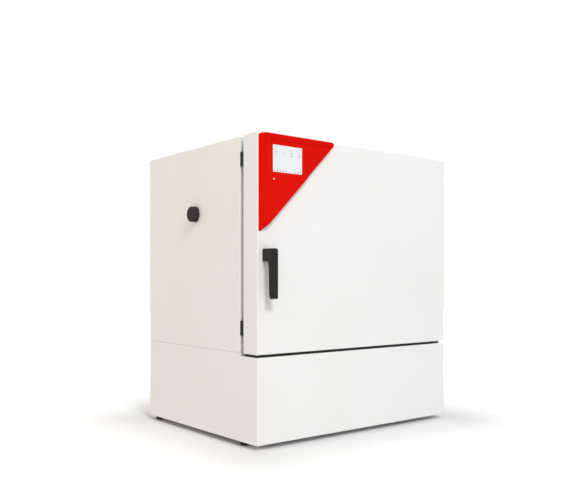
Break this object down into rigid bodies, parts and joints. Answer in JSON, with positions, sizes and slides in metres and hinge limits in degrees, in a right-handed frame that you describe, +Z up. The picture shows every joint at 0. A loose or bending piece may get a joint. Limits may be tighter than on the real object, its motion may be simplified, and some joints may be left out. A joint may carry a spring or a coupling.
{
  "type": "cooled incubator",
  "caption": "Box-shaped cooled laboratory incubator with a right-hinged insulated door, inner glass door, lever latch and corner control panel.",
  "frame": {"origin": "on the floor, under the middle of the whole outline, port plug and handle included", "axes": "+X to the right, +Y to the back, +Z up; the door faces -Y"},
  "size_m": [0.8548, 0.695, 0.925],
  "materials": {
    "white_paint": "satin powder coat",
    "grey_paint": "satin powder coat",
    "red_plastic": "moulded, satin gloss",
    "black_plastic": "fine grain",
    "black_rubber": "matt",
    "grey_rubber": "matt",
    "silicone": "matt",
    "stainless": "brushed",
    "steel": "ground",
    "wire": "electropolished",
    "alloy": "mill finish",
    "copper": "drawn",
    "foam": "moulded foam",
    "light_plastic": "moulded",
    "screen": "lit display",
    "clear_glass": "polished",
    "lamp": "lit lens",
    "board": "circuit board"
  },
  "bodies": {
    "cabinet": {"cabinet_shell": "white_paint", "cabinet_rear_panel": "white_paint", "front_frame": "light_plastic", "chamber_vessel": "stainless", "cabinet_insulation": "foam", "port_tube": "light_plastic", "air_baffle": "stainless", "rack_rails": "stainless", "rack_lower": "wire", "rack_upper": "wire", "circulation_motor": "grey_paint", "heating_element": "steel", "evaporator": "alloy", "temperature_probe": "steel", "glass_door_hinge_brackets": "steel", "hinge_bracket_upper": "steel", "hinge_bracket_lower": "steel", "lower_pivot_block": "black_plastic", "hinge_pins": "steel", "latch_keepers": "black_plastic", "base_shell": "white_paint", "base_front_cover": "white_paint", "gap_strip": "black_rubber", "base_chassis": "grey_paint", "base_rear_grille": "white_paint", "mains_inlet": "black_plastic", "compressor": "black_plastic", "condenser": "alloy", "condenser_fan_frame": "black_plastic", "electronics_box": "grey_paint", "refrigerant_pipes": "copper"},
    "glass_door": {"glass_pane": "clear_glass", "glass_door_gasket": "silicone", "glass_door_hinge_leaves": "steel", "glass_door_knob": "black_plastic"},
    "outer_door": {"door_skin": "white_paint", "door_liner": "light_plastic", "door_insulation": "foam", "door_gasket": "grey_rubber", "hinge_bushes": "steel", "lock_case": "alloy", "rod_guides": "black_plastic", "control_housing": "red_plastic", "control_display": "screen", "status_led": "lamp", "control_board": "board"},
    "handle": {"door_handle": "black_plastic", "handle_spindle": "steel", "latch_pinion": "steel"},
    "upper_rod": {"latch_rod_upper": "steel"},
    "lower_rod": {"latch_rod_lower": "steel"},
    "service_flap": {"service_cover": "red_plastic"},
    "chamber_fan": {"circulation_fan": "alloy"},
    "cooling_fan": {"condenser_fan": "black_plastic"},
    "plug": {"port_plug": "black_rubber"},
    "rocker": {"power_switch": "black_plastic"},
    "foot_1": {"foot_front_left": "black_rubber"},
    "foot_2": {"foot_front_right": "black_rubber"},
    "foot_3": {"foot_rear_left": "black_rubber"},
    "foot_4": {"foot_rear_right": "black_rubber"}
  },
  "joints": [
    {"name": "outer_door_hinge", "type": "hinge", "parent": "cabinet", "child": "outer_door", "pos_m": [0.4034, -0.2725, 0.6], "axis": [0, 0, 1], "range_deg": [0, 110]},
    {"name": "glass_door_hinge", "type": "hinge", "parent": "cabinet", "child": "glass_door", "pos_m": [0.3364, -0.2008, 0.6025], "axis": [0, 0, 1], "range_deg": [0, 99]},
    {"name": "handle_turn", "type": "hinge", "parent": "outer_door", "child": "handle", "pos_m": [-0.3766, -0.3175, 0.569], "axis": [0, -1, 0], "range_deg": [0, 90]},
    {"name": "upper_rod_slide", "type": "slide", "parent": "outer_door", "child": "upper_rod", "axis": [0, 0, -1], "range_m": [0, 0.01416]},
    {"name": "lower_rod_slide", "type": "slide", "parent": "outer_door", "child": "lower_rod", "axis": [0, 0, 1], "range_m": [0, 0.01416]},
    {"name": "service_cover_hinge", "type": "hinge", "parent": "outer_door", "child": "service_flap", "pos_m": [-0.22674, -0.3075, 0.81014], "axis": [0.7071, 0, 0.7071], "range_deg": [0, 80]},
    {"name": "circulation_fan_spin", "type": "hinge", "parent": "cabinet", "child": "chamber_fan", "pos_m": [0.0104, 0.1875, 0.6025], "axis": [0, 1, 0], "continuous": true},
    {"name": "condenser_fan_spin", "type": "hinge", "parent": "cabinet", "child": "cooling_fan", "pos_m": [-0.0996, 0.2825, 0.146], "axis": [0, 1, 0], "continuous": true},
    {"name": "port_plug_pull", "type": "slide", "parent": "cabinet", "child": "plug", "axis": [-1, 0, 0], "range_m": [0, 0.07]},
    {"name": "power_switch_rock", "type": "hinge", "parent": "cabinet", "child": "rocker", "pos_m": [0.2604, 0.34, 0.16], "axis": [1, 0, 0], "range_deg": [0, 20]},
    {"name": "foot_1_turn", "type": "hinge", "parent": "cabinet", "child": "foot_1", "pos_m": [-0.3786, -0.2025, 0], "axis": [0, 0, 1], "continuous": true},
    {"name": "foot_2_turn", "type": "hinge", "parent": "cabinet", "child": "foot_2", "pos_m": [0.3994, -0.2025, 0], "axis": [0, 0, 1], "continuous": true},
    {"name": "foot_3_turn", "type": "hinge", "parent": "cabinet", "child": "foot_3", "pos_m": [-0.3786, 0.3225, 0], "axis": [0, 0, 1], "continuous": true},
    {"name": "foot_4_turn", "type": "hinge", "parent": "cabinet", "child": "foot_4", "pos_m": [0.3994, 0.3225, 0], "axis": [0, 0, 1], "continuous": true}
  ],
  "couplings": [
    {"joint": "glass_door_hinge", "follows": "outer_door_hinge", "ratio": 0.9},
    {"joint": "upper_rod_slide", "follows": "handle_turn", "m_per_rad": 0.009},
    {"joint": "lower_rod_slide", "follows": "handle_turn", "m_per_rad": 0.009}
  ]
}
